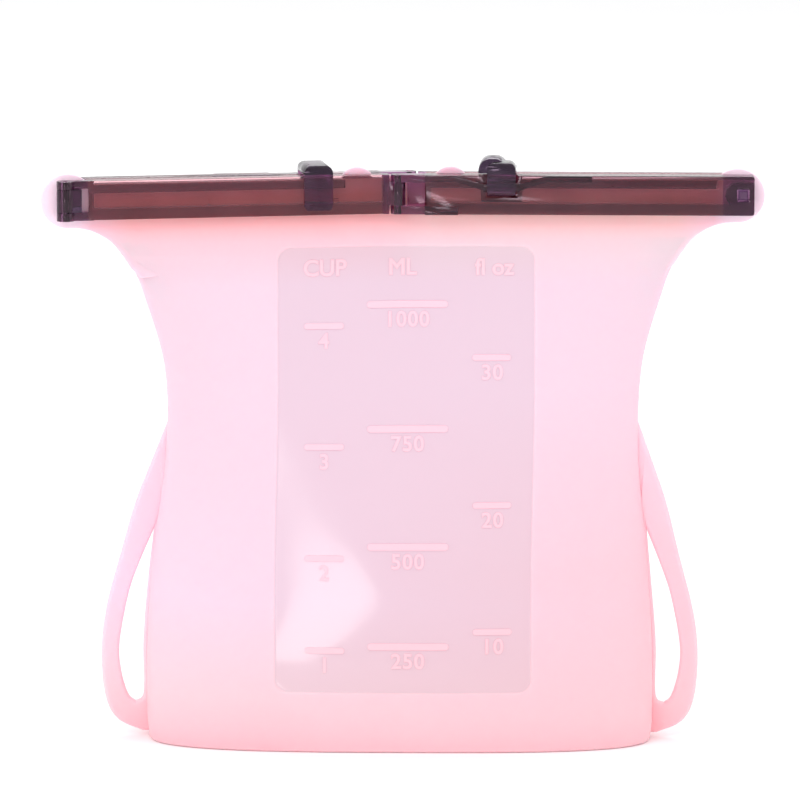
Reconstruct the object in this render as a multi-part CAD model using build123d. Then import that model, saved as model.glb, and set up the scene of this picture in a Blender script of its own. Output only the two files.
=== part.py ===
from build123d import *
import math
import os

# Reusable stand-up silicone bag with a four-bar folding clip. Millimetres and degrees, +Z up.
# The origin is on the surface that the bag stands on, at the centre of the object's box.
# The closed clip is bent a little in plan: its left and right halves each swing forward (-Y).
# "Half frame" means the frame of one clip half: u along the bars, v across them, z up.

# ---- clip halves -------------------------------------------------------------------------
LEFT_YAW = 8.8
RIGHT_YAW = -2.6

# ---- clip bars ---------------------------------------------------------------------------
BAR_BOTTOM = 184.0
BAR_TOP = 197.6
INNER_FACE = 1.0
PIVOT_BAR_DEPTH = 6.0
HOOK_BAR_DEPTH = 4.0
FACE_WALL = 1.5
LIP_HEIGHT = 1.2
BASE_RIB_HEIGHT = 3.8
MID_RIB_BOTTOM = 193.2
MID_RIB_HEIGHT = 2.8
PIVOT_BAR_RIB_END = 107.5
HOOK_BAR_RIB_END = -20.9
END_WALL = 2.0
PIVOT_BAR_EDGE_RADIUS = 0.5
HOOK_BAR_EDGE_RADIUS = 0.8
BAR_START = 7.6
BAR_END = 120.6
END_CORNER_RADIUS = 1.0
OVERLAP = 0.2
BEYOND = 1.0

# ---- vertical hinges ---------------------------------------------------------------------
FRONT_HINGE = (-1.9, -4.4)
BACK_HINGE = (1.9, 4.4)
END_HINGE_U = -117.5
END_HINGE_V = -4.3
CENTRE_KNUCKLE_R = 2.5
END_KNUCKLE_R = 3.0
TOP_KNUCKLE = 2.6
BOTTOM_KNUCKLE = 2.8
KNUCKLE_GAP = 0.2
KNUCKLE_NECK_HALF = 1.4
KNUCKLE_SETBACK = 0.6
PIN_R = 0.9
PIN_RUNNING_GAP = 0.05
END_WINDOW_U = -109.4
END_WINDOW_WALL = 1.6
WEB_START = 1.4
WEB_THICKNESS = 1.0
WEB_CHAMFER = 0.5
KNUCKLE_TO_BAR = 0.7
TONGUE_START = 112.2
TONGUE_END = 116.2
TONGUE_HALF = 2.2

# ---- latches -----------------------------------------------------------------------------
LEFT_LATCH_U = 30.5
RIGHT_LATCH_U = 33.9
LATCH_WIDTH = 9.8
LATCH_PIVOT_Z = 193.4
LEFT_LATCH_TOP_Z = 201.4
RIGHT_LATCH_TOP_Z = 202.2
RIGHT_LATCH_LOBE = 1.0
RIGHT_LATCH_CRANK = -3.1
LATCH_PLATE_BOTTOM_Z = 186.0
LATCH_PLATE = 1.4
LATCH_GAP = 0.7
LATCH_NIB = 0.5
LATCH_NIB_HEIGHT = 2.2
LATCH_RIDGE = 0.3
LATCH_RIDGE_HEIGHT = 2.0
LATCH_RIDGE_HALF = 3.0
LATCH_SHOULDER = 1.2
MOULD_LINE = 0.2
LATCH_OVER_BAR = 0.6
LATCH_CORNER_R = 2.0
LATCH_DOME_R = 2.6
LATCH_LOBE_R = 4.4
CLIP_THROAT_HALF = 1.1
CLIP_THROAT_ANGLE = -50.0
ROD_R = 1.5
CLIP_R = 3.0
CLIP_ROOM = 0.5
POCKET_WIDTH = 11.0
POCKET_DEPTH = 3.5
POCKET_WALL = 1.5
RIB_HEIGHT = 2.2
RIB_PROUD = 0.9
RIB_END = 65.0
RIB_SLOPE = 10.0
FOOT_STRIP_END = 19.0
FOOT_STRIP_HEIGHT = 2.8
NUB_SIZE = 1.6
NUB_PROUD = 0.9
NUB_BOTTOM = 188.0
NUB_HEIGHT = 1.8
PIVOT_ARROW_U = 72.0
HOOK_ARROW_U = -68.0

# ---- snap end ----------------------------------------------------------------------------
PEG_U = 116.8
PEG_SIZE = 3.4
PEG_Z = 191.0
SNAP_HOLE = 4.3
PEG_REACH = 6.2
PEG_CHAMFER = 0.5
BOSS_START = 110.8
BOSS_BOTTOM = 186.9
BOSS_TOP = 195.1

# ---- silicone bag ------------------------------------------------------------------------
WALL = 1.6
RIM_HALF = 0.8
RIM_TOP = 197.0
SLIT_HALF = 0.2
EAR_R = 9.3
EAR_LIMIT_X = 124.2
EAR_Z = 190.2
RIM_BUMP_U = 16.0
RIM_BUMP_Z = 193.2
RIM_BUMP_R = 6.6
RIM_BUMP_TOP = 199.8
HANDLE_HALF = 1.9
HOLE_ROOM = 0.4

# Outer sections of the body: height, half width, half depth at the middle, roundness exponent.
BODY_SECTIONS = [
    (0.0, 85.5, 28.5, 3.0),
    (3.0, 87.4, 30.6, 3.0),
    (14.0, 87.8, 30.8, 2.7),
    (36.0, 87.6, 29.4, 2.4),
    (66.0, 85.6, 25.0, 2.2),
    (100.0, 81.8, 19.5, 2.1),
    (131.0, 82.4, 13.2, 2.1),
    (158.0, 89.6, 6.6, 2.2),
    (167.0, 93.2, 4.3, 2.4),
    (174.0, 98.2, 2.6, 2.6),
    (178.3, 103.2, 1.6, 3.2),
    (183.0, 109.0, 1.0, 4.0),
]
SECTION_HEIGHTS = [0, 2, 5, 9, 15, 24, 36, 50, 65, 80, 95, 110, 125, 138, 149, 158, 166, 174, 183]
CAVITY_HEIGHTS = [2, 3.5, 5.5, 9, 15, 24, 36, 50, 65, 80, 95, 110, 125, 138, 149, 158, 166, 174]


def block(u0, u1, v0, v1, z0, z1):
    """A box from its six limits."""
    size = (u1 - u0, v1 - v0, z1 - z0)
    return Pos((u0 + u1) / 2, (v0 + v1) / 2, (z0 + z1) / 2) * Box(*size)


def post(u, v, radius, z0, z1):
    """A vertical cylinder."""
    return Pos(u, v, (z0 + z1) / 2) * Cylinder(radius, z1 - z0)


def turned(point, angle):
    """A plan point turned about the origin."""
    a = math.radians(angle)
    x, y = point
    return (x * math.cos(a) - y * math.sin(a), x * math.sin(a) + y * math.cos(a))


# ---- bars --------------------------------------------------------------------------------
# Both bars are drawn with their outer face towards -v. The pivot bar runs towards +u from
# its hinge, the hook bar towards -u. Turned by 180 degrees, each also makes a back bar.


def bar_body(depth, edge_radius, u0, u1, rib_u0, rib_u1):
    """The straight length of a bar with rounded outer edges and its middle rib."""
    outer = -INNER_FACE - depth
    shell = block(u0, u1, outer, -INNER_FACE, BAR_BOTTOM, BAR_TOP)
    long_edges = shell.edges().filter_by(Axis.X).sort_by(Axis.Y)[:2]
    shell = fillet(long_edges, edge_radius)
    wall_back = outer + FACE_WALL
    rib_top = MID_RIB_BOTTOM + MID_RIB_HEIGHT
    open_bottom, open_top = BAR_BOTTOM + BASE_RIB_HEIGHT, BAR_TOP - LIP_HEIGHT
    shell -= block(u0 - BEYOND, u1 + BEYOND, wall_back, 0, open_bottom, open_top)
    return shell + block(rib_u0, rib_u1, wall_back - OVERLAP, -INNER_FACE, MID_RIB_BOTTOM, rib_top)


def arrow(u, outer):
    """Raised outline of an up arrow on the outer face."""
    points = [(-0.9, 0), (0.9, 0), (0.9, 4), (2.0, 4), (0, 7), (-2.0, 4), (-0.9, 4)]
    outline = make_face(Polyline(*points, close=True))
    ring = outline - offset(outline, -0.3, kind=Kind.INTERSECTION)
    plane = Plane(origin=(u, outer + 0.05, BAR_BOTTOM + 3.4), x_dir=(1, 0, 0), z_dir=(0, -1, 0))
    return extrude(plane * ring, 0.2)


def dipping_rib(latch_u, outer):
    """The rib along the top of the face. It dips to the latch's rod and climbs back."""
    half = POCKET_WIDTH / 2
    low = LATCH_PIVOT_Z - RIB_HEIGHT / 2
    high = BAR_TOP - RIB_HEIGHT
    centre_line = [
        (BAR_START, high),
        (latch_u - half - RIB_SLOPE, high),
        (latch_u - half, low),
        (latch_u + half, low),
        (latch_u + half + RIB_SLOPE, high),
        (RIB_END, high),
    ]
    upper = [(u, z + RIB_HEIGHT) for u, z in reversed(centre_line)]
    face = make_face(Polyline(*centre_line, *upper, close=True))
    plane = Plane(origin=(0, outer + OVERLAP, 0), x_dir=(1, 0, 0), z_dir=(0, -1, 0))
    return extrude(plane * face, RIB_PROUD + OVERLAP)


def latch_seat(latch_u, outer):
    """The pocket that the latch's clip turns in, open to the front and the top."""
    half = POCKET_WIDTH / 2
    low = LATCH_PIVOT_Z - CLIP_R - CLIP_ROOM
    front = outer - RIB_PROUD - BEYOND
    return block(latch_u - half, latch_u + half, front, outer + POCKET_DEPTH, low, BAR_TOP + BEYOND)


def rod(latch_u, outer):
    """The round rod across the pocket that the latch snaps on."""
    length = POCKET_WIDTH + POCKET_WALL
    return Pos(latch_u, outer, LATCH_PIVOT_Z) * Rot(0, 90, 0) * Cylinder(ROD_R, length)


def fork(u, v, radius, reach_u, outer, inner):
    """Two arms with knuckles round a vertical axis, with pin holes at running size."""
    levels = [(BAR_BOTTOM, BAR_BOTTOM + BOTTOM_KNUCKLE), (BAR_TOP - TOP_KNUCKLE, BAR_TOP)]
    arms = []
    for z0, z1 in levels:
        arm = block(min(u, reach_u), max(u, reach_u), outer, inner, z0, z1)
        arms.append(arm + post(u, v, radius, z0, z1))
    both = arms[0] + arms[1]
    return both - post(u, v, PIN_R + PIN_RUNNING_GAP, BAR_BOTTOM - BEYOND, BAR_TOP + BEYOND)


def knuckle_span():
    """Lowest and highest z of the middle knuckle of a hinge."""
    low = BAR_BOTTOM + BOTTOM_KNUCKLE + KNUCKLE_GAP
    return low, BAR_TOP - TOP_KNUCKLE - KNUCKLE_GAP


def fork_web(outer):
    """Thin wall behind the gap between the fork's arms, and the chamfered edges of the gap."""
    inner = -INNER_FACE - WEB_THICKNESS
    bottom, top = BAR_BOTTOM + BOTTOM_KNUCKLE, BAR_TOP - TOP_KNUCKLE
    web = block(WEB_START, BAR_START + OVERLAP, inner, -INNER_FACE, bottom - OVERLAP, top + OVERLAP)
    upright = Pos(BAR_START, outer, (bottom + top) / 2) * Rot(0, 0, 45)
    level = Pos((WEB_START + BAR_START) / 2, outer, bottom) * Rot(45, 0, 0)
    side = WEB_CHAMFER * math.sqrt(2)
    cutter = upright * Box(side, side, top - bottom)
    cutter += level * Box(BAR_START - WEB_START, side, side)
    return web, cutter


def pivot_bar(axis, latch_u, end_u):
    """The bar that carries a latch: fork at the centre hinge, dipping rib, rod and pocket."""
    outer = -INNER_FACE - PIVOT_BAR_DEPTH
    u, v = axis
    radius = PIVOT_BAR_EDGE_RADIUS
    body = bar_body(PIVOT_BAR_DEPTH, radius, BAR_START, end_u, BAR_START, PIVOT_BAR_RIB_END)
    body += block(BAR_START, BAR_START + END_WALL, outer, -INNER_FACE, BAR_BOTTOM, BAR_TOP)
    half = POCKET_WIDTH / 2 + POCKET_WALL
    floor_z = LATCH_PIVOT_Z - CLIP_R - CLIP_ROOM - POCKET_WALL
    body += block(latch_u - half, latch_u + half, outer, -INNER_FACE, floor_z, BAR_TOP)
    body += dipping_rib(latch_u, outer)
    strip_top = BAR_BOTTOM + FOOT_STRIP_HEIGHT
    front = outer - RIB_PROUD
    body += block(BAR_START, FOOT_STRIP_END, front, outer + OVERLAP, BAR_BOTTOM, strip_top)
    body -= latch_seat(latch_u, outer)
    body += rod(latch_u, outer)
    arm_front, arm_back = v - CENTRE_KNUCKLE_R + OVERLAP, v + CENTRE_KNUCKLE_R
    body += fork(u, v, CENTRE_KNUCKLE_R, BAR_START + END_WALL, arm_front, arm_back)
    web, cutter = fork_web(outer)
    return body + web - cutter + arrow(PIVOT_ARROW_U, outer)


def hook_bar(axis, end_u, latch_u):
    """The bar that a latch closes on: middle knuckle at the centre hinge, and a catch nub
    beside the latch's plate, whose middle is at -latch_u."""
    outer = -INNER_FACE - HOOK_BAR_DEPTH
    u, v = axis
    start_u = u - CENTRE_KNUCKLE_R - KNUCKLE_TO_BAR
    z0, z1 = knuckle_span()
    radius = HOOK_BAR_EDGE_RADIUS
    body = bar_body(HOOK_BAR_DEPTH, radius, end_u, start_u, end_u, HOOK_BAR_RIB_END)
    body += block(start_u - END_WALL, start_u, outer, -INNER_FACE, BAR_BOTTOM, BAR_TOP)
    body += post(u, v, CENTRE_KNUCKLE_R, z0, z1)
    body += block(start_u - END_WALL, u, v - KNUCKLE_NECK_HALF, -INNER_FACE - KNUCKLE_SETBACK, z0, z1)
    body -= post(u, v, PIN_R, BAR_BOTTOM - BEYOND, BAR_TOP + BEYOND)
    nub_u = -latch_u + LATCH_WIDTH / 2 + CLIP_ROOM
    nub_top = NUB_BOTTOM + NUB_HEIGHT
    body += block(nub_u, nub_u + NUB_SIZE, outer - NUB_PROUD, outer + OVERLAP, NUB_BOTTOM, nub_top)
    return body + arrow(HOOK_ARROW_U, outer)


def round_end(bar, u0, u1):
    """The bar between u0 and u1, with its upright end corners rounded."""
    outline = RectangleRounded(u1 - u0, BAR_TOP - BAR_BOTTOM, END_CORNER_RADIUS)
    middle = ((u0 + u1) / 2, 2 * PIVOT_BAR_DEPTH, (BAR_TOP + BAR_BOTTOM) / 2)
    plane = Plane(origin=middle, x_dir=(1, 0, 0), z_dir=(0, -1, 0))
    return bar & extrude(plane * outline, 4 * PIVOT_BAR_DEPTH)


def snap_boss(body):
    """The square snap hole in its boss at the free end of the front right bar."""
    outer = -INNER_FACE - PIVOT_BAR_DEPTH
    radius = (BOSS_TOP - BOSS_BOTTOM) / 2
    centre_z = (BOSS_TOP + BOSS_BOTTOM) / 2
    front = outer + FACE_WALL / 2
    straight = block(BOSS_START + radius, BAR_END, front, -INNER_FACE, BOSS_BOTTOM, BOSS_TOP)
    boss_end = Pos(BOSS_START + radius, (front - INNER_FACE) / 2, centre_z) * Rot(90, 0, 0)
    body += straight + boss_end * Cylinder(radius, -INNER_FACE - front)
    half = SNAP_HOLE / 2
    body -= block(PEG_U - half, PEG_U + half, outer - BEYOND, 0, PEG_Z - half, PEG_Z + half)
    return round_end(body, -BAR_START, BAR_END)


def make_front_right_bar():
    axis = turned(FRONT_HINGE, -RIGHT_YAW)
    return Rot(0, 0, RIGHT_YAW) * snap_boss(pivot_bar(axis, RIGHT_LATCH_U, BAR_END))


def make_back_left_bar():
    """Its far end carries the tongue that passes through the left ear to the end hinge."""
    axis = turned(BACK_HINGE, -180 - LEFT_YAW)
    end_u = -END_HINGE_U + PIN_R + 2 * PIN_RUNNING_GAP + FACE_WALL
    bar = pivot_bar(axis, LEFT_LATCH_U, end_u)
    z0, z1 = knuckle_span()
    u, v = -END_HINGE_U, -END_HINGE_V
    bar += block(TONGUE_START, end_u, -CENTRE_KNUCKLE_R - FACE_WALL, -INNER_FACE, z0, z1)
    bar += block(TONGUE_START, TONGUE_END, -2 * INNER_FACE, v + TONGUE_HALF, z0, z1)
    bar += block(TONGUE_START, u, v - TONGUE_HALF, v + TONGUE_HALF, z0, z1)
    bar += post(u, v, END_KNUCKLE_R, z0, z1)
    bar -= post(u, v, PIN_R, z0 - BEYOND, z1 + BEYOND)
    return Rot(0, 0, 180 + LEFT_YAW) * bar


def make_front_left_bar():
    axis = turned(FRONT_HINGE, -LEFT_YAW)
    bar = hook_bar(axis, END_WINDOW_U, LEFT_LATCH_U)
    outer = -INNER_FACE - HOOK_BAR_DEPTH
    window_edge = END_WINDOW_U + END_WINDOW_WALL
    bar += block(END_WINDOW_U, window_edge, outer, -INNER_FACE, BAR_BOTTOM, BAR_TOP)
    inner = END_HINGE_V + END_KNUCKLE_R
    bar += fork(END_HINGE_U, END_HINGE_V, END_KNUCKLE_R, window_edge - OVERLAP, outer, inner)
    return Rot(0, 0, LEFT_YAW) * bar


def make_back_right_bar():
    """Its far end carries the square snap peg that passes through the right ear."""
    axis = turned(BACK_HINGE, -180 - RIGHT_YAW)
    bar = hook_bar(axis, -BAR_END, RIGHT_LATCH_U)
    outer = -INNER_FACE - HOOK_BAR_DEPTH
    front = outer + FACE_WALL / 2
    half = PEG_SIZE / 2
    peg = block(-PEG_U - half, -PEG_U + half, front, PEG_REACH, PEG_Z - half, PEG_Z + half)
    tip_edges = peg.faces().sort_by(Axis.Y)[-1].edges()
    peg = chamfer(tip_edges, PEG_CHAMFER)
    bar += block(-BAR_END, -BOSS_START, front, -INNER_FACE, BOSS_BOTTOM, BOSS_TOP)
    return Rot(0, 0, 180 + RIGHT_YAW) * (round_end(bar, -BAR_END, BAR_START) + peg)


# ---- latches -----------------------------------------------------------------------------


def latch_arch(top_z, dome_r):
    """The latch's bridge over both bars, open below. Its far end is the plate that the
    thumb lifts, with a nib inside, a finger ridge outside and a moulding line."""
    far = 2 * INNER_FACE + PIVOT_BAR_DEPTH + HOOK_BAR_DEPTH + LATCH_GAP
    top = top_z - LATCH_PIVOT_Z
    under = BAR_TOP - LATCH_PIVOT_Z + LATCH_OVER_BAR
    bottom = LATCH_PLATE_BOTTOM_Z - LATCH_PIVOT_Z
    half = LATCH_WIDTH / 2
    arch = block(-half, half, -CLIP_R, far + LATCH_PLATE, bottom, top)
    arch -= block(-half - BEYOND, half + BEYOND, -ROD_R, far, bottom - BEYOND, under)
    arch -= block(-half - BEYOND, half + BEYOND, -CLIP_R - BEYOND, 0, bottom - BEYOND, 0)
    top_edges = arch.edges().filter_by(Axis.X).group_by(Axis.Z)[-1]
    arch = fillet(top_edges, LATCH_CORNER_R)
    nib_top = bottom + LATCH_NIB_HEIGHT
    arch += block(-half, half, far - LATCH_NIB, far + OVERLAP, bottom, nib_top)
    face = far + LATCH_PLATE
    grip, ridge_top = LATCH_RIDGE_HALF, bottom + LATCH_RIDGE_HEIGHT
    arch += block(-grip, grip, face - OVERLAP, face + LATCH_RIDGE, bottom, ridge_top)
    line = MOULD_LINE / 2
    arch += block(-line, line, face - OVERLAP, face + MOULD_LINE, bottom, under)
    domed = RectangleRounded(LATCH_WIDTH, 2 * top, dome_r)
    return arch & extrude(Plane.XZ.offset(-2 * far) * domed, 4 * far)


def latch(top_z, crank, lobe):
    """Flip-over latch, drawn about its pivot: the clip on the rod, the bridge, the plate.
    +v points to the far bar. The bridge's far half may be cranked sideways and stand higher."""
    half = LATCH_WIDTH / 2
    wide = half + BEYOND
    long = 2 * (PIVOT_BAR_DEPTH + HOOK_BAR_DEPTH)
    top = top_z + lobe - LATCH_PIVOT_Z + BEYOND
    bottom = LATCH_PLATE_BOTTOM_Z - LATCH_PIVOT_Z - BEYOND
    under = BAR_TOP - LATCH_PIVOT_Z + LATCH_OVER_BAR
    near = block(-wide, wide, -CLIP_R - BEYOND, PIVOT_BAR_DEPTH, bottom, top)
    above = block(-wide, wide, PIVOT_BAR_DEPTH - half, long, under, top)
    below = block(-wide, wide, PIVOT_BAR_DEPTH, long, bottom, under + LATCH_SHOULDER)
    arch = latch_arch(top_z, LATCH_DOME_R)
    tab = latch_arch(top_z + lobe, LATCH_LOBE_R if lobe else LATCH_DOME_R)
    body = arch & near
    body += Rot(0, 90, 0) * Cylinder(CLIP_R, LATCH_WIDTH)
    body += arch & below
    body += Pos(crank, 0, 0) * (tab & above)
    body -= Rot(0, 90, 0) * Cylinder(ROD_R + PIN_RUNNING_GAP, 2 * wide)
    throat = block(-wide, wide, 0, CLIP_R + BEYOND, -CLIP_THROAT_HALF, CLIP_THROAT_HALF)
    return body - Rot(CLIP_THROAT_ANGLE, 0, 0) * throat


def make_left_latch():
    """Its plate closes over the front left bar."""
    outer = -INNER_FACE - PIVOT_BAR_DEPTH
    place = Rot(0, 0, 180 + LEFT_YAW) * Pos(LEFT_LATCH_U, outer, LATCH_PIVOT_Z)
    return place * latch(LEFT_LATCH_TOP_Z, 0, 0)


def make_right_latch():
    """Its plate closes over the back right bar."""
    outer = -INNER_FACE - PIVOT_BAR_DEPTH
    place = Rot(0, 0, RIGHT_YAW) * Pos(RIGHT_LATCH_U, outer, LATCH_PIVOT_Z)
    return place * latch(RIGHT_LATCH_TOP_Z, RIGHT_LATCH_CRANK, RIGHT_LATCH_LOBE)


# ---- pins --------------------------------------------------------------------------------


def make_pin(point):
    return post(*point, PIN_R, BAR_BOTTOM + 0.2, BAR_TOP - 0.2)


# ---- bag ---------------------------------------------------------------------------------


def mouth_line(x, weight):
    """Plan position of the walls' middle: the clip's bend, fading out lower down."""
    yaw = LEFT_YAW if x < 0 else RIGHT_YAW
    return x * math.tan(math.radians(yaw)) * weight


def section_at(z):
    """Half width, half depth and exponent at a height, smooth between the driving sections."""
    rows = BODY_SECTIONS
    i = max(k for k in range(len(rows) - 1) if rows[k][0] <= z)
    before, start = rows[max(i - 1, 0)], rows[i]
    end, after = rows[i + 1], rows[min(i + 2, len(rows) - 1)]
    step = end[0] - start[0]
    t = (z - start[0]) / step
    values = []
    for k in (1, 2, 3):
        slope0 = (end[k] - before[k]) / (end[0] - before[0]) * step
        slope1 = (after[k] - start[k]) / (after[0] - start[0]) * step
        rise = end[k] - start[k]
        curve = slope0 * t + (3 * rise - 2 * slope0 - slope1) * t**2
        values.append(start[k] + curve + (slope0 + slope1 - 2 * rise) * t**3)
    return values


def body_wire(z, half_width, half_depth, power):
    """One closed section: a front and a back curve that meet at the side tips."""
    weight = max(0.0, min(1.0, (z - 60.0) / 110.0)) ** 2
    curves = []
    for side in (-1, 1):
        points = []
        for step in range(13):
            a = math.radians(180.0 * step / 12)
            c = math.cos(a)
            x = half_width * math.copysign(abs(c) ** (2 / power), c)
            y = side * half_depth * abs(math.sin(a)) ** (2 / power)
            points.append((x, y + mouth_line(x, weight), z))
        curves.append(Spline(*points))
    return Wire(curves)


def outer_body():
    return Solid.make_loft([body_wire(z, *section_at(z)) for z in SECTION_HEIGHTS])


def cavity():
    """The inside of the bag, one wall thickness within the outer sections."""
    wires = []
    for z in CAVITY_HEIGHTS:
        half_width, half_depth, power = section_at(z - WALL if z < 9 else z)
        inset = WALL + (0.6 if z < 9 else 0.0)
        depth = max(half_depth - inset, SLIT_HALF + 0.2)
        wires.append(body_wire(z, half_width - inset, depth, power))
    return Solid.make_loft(wires)


def half_plate(yaw, side, u_end, half, z0, z1):
    """A flat upright plate along one clip half, from the middle outwards."""
    u0, u1 = sorted((-side * 0.2, side * u_end))
    return Rot(0, 0, yaw) * block(u0, u1, -half, half, z0, z1)


def ear_u(yaw):
    """Distance of an ear's centre along its half, for both ears to reach the same width."""
    a = math.radians(abs(yaw))
    return (EAR_LIMIT_X - RIM_HALF * math.sin(a)) / math.cos(a) - EAR_R


def make_ear(yaw, side):
    turn = Rot(0, 0, yaw) * Pos(side * ear_u(yaw), 0, EAR_Z) * Rot(90, 0, 0)
    return turn * Cylinder(EAR_R, 2 * RIM_HALF)


def rim_bump(yaw, u):
    """A dome on the mouth's edge that shows above the bars."""
    dome = Rot(0, 0, yaw) * Pos(u, 0, RIM_BUMP_Z) * Rot(90, 0, 0)
    dome *= Cylinder(RIM_BUMP_R, 2 * RIM_HALF)
    reach = 2 * RIM_BUMP_U
    return dome & block(-reach, reach, -reach, reach, RIM_BUMP_Z, RIM_BUMP_TOP)


def handle(side):
    """Carrying loop moulded on the side of the bag: a flat strap round a tall tapered hole."""
    outer = [(81, 112), (86.8, 96.7), (91.9, 82.7), (96.6, 65.3), (101.8, 44.3), (103.1, 28)]
    outer += [(100.8, 13), (95.6, 4.8), (88.0, 1.7)]
    edge = Spline(*[(side * x, z) for x, z in outer])
    close = Polyline((side * 88.0, 1.7), (side * 79, 1.7), (side * 78, 112), (side * 81, 112))
    strap = make_face([edge, close])
    left = [(85.4, 73.2), (87.3, 55), (89.0, 34), (88.9, 18), (89.6, 13.4), (91.9, 12.1)]
    right = [(91.9, 12.1), (94.5, 14.6), (96.9, 23), (97.3, 33), (94.2, 49.6), (90.6, 60.5)]
    right.append((85.4, 73.2))
    hole_edges = [Spline(*[(side * x, z) for x, z in run]) for run in (left, right)]
    loop = strap - make_face(hole_edges)
    plane = Plane(origin=(0, HANDLE_HALF, 0), x_dir=(1, 0, 0), z_dir=(0, -1, 0))
    return extrude(plane * loop, 2 * HANDLE_HALF)


def make_silicone_bag():
    bag = Part() + outer_body()
    for yaw, side in ((LEFT_YAW, -1), (RIGHT_YAW, 1)):
        bag += half_plate(yaw, side, ear_u(yaw), RIM_HALF, 181.0, RIM_TOP)
        bag += make_ear(yaw, side)
        bag += rim_bump(yaw, side * RIM_BUMP_U)
    for side in (-1, 1):
        bag += handle(side)
    bag -= cavity()
    for yaw, side in ((LEFT_YAW, -1), (RIGHT_YAW, 1)):
        bag -= half_plate(yaw, side, 98.0, SLIT_HALF, 168.0, 205.0)
    z0, z1 = knuckle_span()
    through = 5 * RIM_HALF
    hole_u0, hole_u1 = -TONGUE_END - HOLE_ROOM, -TONGUE_START + HOLE_ROOM
    tongue_hole = block(hole_u0, hole_u1, -through, through, z0 - HOLE_ROOM, z1 + HOLE_ROOM)
    bag -= Rot(0, 0, LEFT_YAW) * tongue_hole
    half = PEG_SIZE / 2 + HOLE_ROOM
    peg_hole = block(PEG_U - half, PEG_U + half, -through, through, PEG_Z - half, PEG_Z + half)
    return bag - Rot(0, 0, RIGHT_YAW) * peg_hole


def main():
    os.makedirs("parts", exist_ok=True)
    end_hinge = turned((END_HINGE_U, END_HINGE_V), LEFT_YAW)
    nodes = {
        "silicone_bag": make_silicone_bag(),
        "front_left_bar": make_front_left_bar(),
        "front_right_bar": make_front_right_bar(),
        "back_left_bar": make_back_left_bar(),
        "back_right_bar": make_back_right_bar(),
        "left_latch": make_left_latch(),
        "right_latch": make_right_latch(),
        "left_end_hinge_pin": make_pin(end_hinge),
        "front_centre_hinge_pin": make_pin(FRONT_HINGE),
        "back_centre_hinge_pin": make_pin(BACK_HINGE),
    }
    for name, shape in nodes.items():
        shape.label = name
        export_step(shape, f"parts/{name}.step")
        box = shape.bounding_box()
        low, high = box.min, box.max
        print(name, len(shape.solids()), round(shape.volume, 1), low, high)
    print("end hinge axis", end_hinge)


main()
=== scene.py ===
import math

import bmesh
import bpy
import numpy as np
from mathutils import Matrix, Vector


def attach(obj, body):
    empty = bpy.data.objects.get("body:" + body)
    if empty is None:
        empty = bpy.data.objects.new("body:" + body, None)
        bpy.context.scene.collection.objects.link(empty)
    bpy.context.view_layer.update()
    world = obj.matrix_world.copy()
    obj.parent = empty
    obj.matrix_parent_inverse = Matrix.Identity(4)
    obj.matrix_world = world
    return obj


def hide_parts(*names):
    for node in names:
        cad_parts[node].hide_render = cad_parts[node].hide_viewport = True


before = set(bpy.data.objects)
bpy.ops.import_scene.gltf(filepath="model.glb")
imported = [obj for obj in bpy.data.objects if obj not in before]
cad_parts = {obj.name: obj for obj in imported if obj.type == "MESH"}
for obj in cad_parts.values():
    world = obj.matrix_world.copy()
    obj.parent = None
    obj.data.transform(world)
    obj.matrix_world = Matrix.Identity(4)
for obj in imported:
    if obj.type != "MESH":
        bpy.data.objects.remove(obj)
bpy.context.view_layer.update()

# Lengths below are in millimetres and are turned into metres when a mesh is made.
MM = 0.001
SAME_PLACE = 0.01 * MM

# ---- the bag's driving sizes, the same as the CAD model's --------------------------------
# How far each half of the clip is swung forward.
LEFT_YAW = math.radians(8.8)
RIGHT_YAW = math.radians(-2.6)
# Height, half width, half depth and exponent of the walls' section.
BODY_SECTIONS = [
    (0.0, 86.9, 30.2, 3.0),
    (3.0, 87.6, 30.8, 3.0),
    (14.0, 87.8, 30.8, 2.7),
    (36.0, 87.6, 29.2, 2.4),
    (66.0, 85.6, 25.2, 2.2),
    (100.0, 81.8, 19.5, 2.1),
    (131.0, 82.4, 13.2, 2.1),
    (158.0, 89.6, 6.6, 2.2),
    (167.0, 93.2, 4.3, 2.4),
    (174.0, 98.2, 2.6, 2.6),
    (178.3, 103.2, 1.6, 3.2),
    (183.0, 109.0, 1.0, 4.0),
]
BASE_RADIUS = 0.9
BODY_TOP = 183.0
WALL = 1.6
CAVITY_FLOOR = WALL + 1.4
CAVITY_TOP = 176.0
RIM_HALF = 0.8
RIM_EDGE = 0.3
RIM_TOP = 197.0
RIM_ROOT = 174.0
RIM_OVERLAP = 0.4
EAR_RADIUS = 9.3
EAR_HEIGHT = 190.2
EAR_REACH = {-1: 116.26, 1: 114.95}
BUMP_U = 16.2
BUMP_RADIUS = 6.6
BUMP_HEIGHT = 193.2
BUMP_TOP = 199.8
HANDLE_HALF = 1.9
HANDLE_EDGE = 1.3
# Two ends, foot, top and corner radius of the holes in the ears.
TONGUE_HOLE = (111.6, 116.8, 186.6, 195.4, 0.8)
PEG_HOLE = (114.6, 119.0, 188.8, 193.2, 0.6)

# ---- how the soft body has settled -------------------------------------------------------
LEAN = 1.4
TWIST = math.tan(math.radians(1.6))
SETTLED_TOP = 130.0
SETTLED_FULL = 50.0
# Start height, reach and power of the growth of the clip's bend up the walls.
PANEL_BEND = (20.0, 150.0, 1.15)
SIDE_BEND = (60.0, 110.0, 2)
STIFF_HALF = 48.0
STIFF_BLEND = 34.0
BEND_SOFTNESS = 22.0
# Height of each wave, its length across and up, and its shift.
WAVES = [(0.30, 17.0, 41.0, 1), (0.22, 29.0, -23.0, 2)]
WAVE_FADE_BASE = 25.0
WAVE_FADE_CLIP = 40.0
WAVE_START = 46.0
WAVE_FADE_PANEL = 16.0

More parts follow.
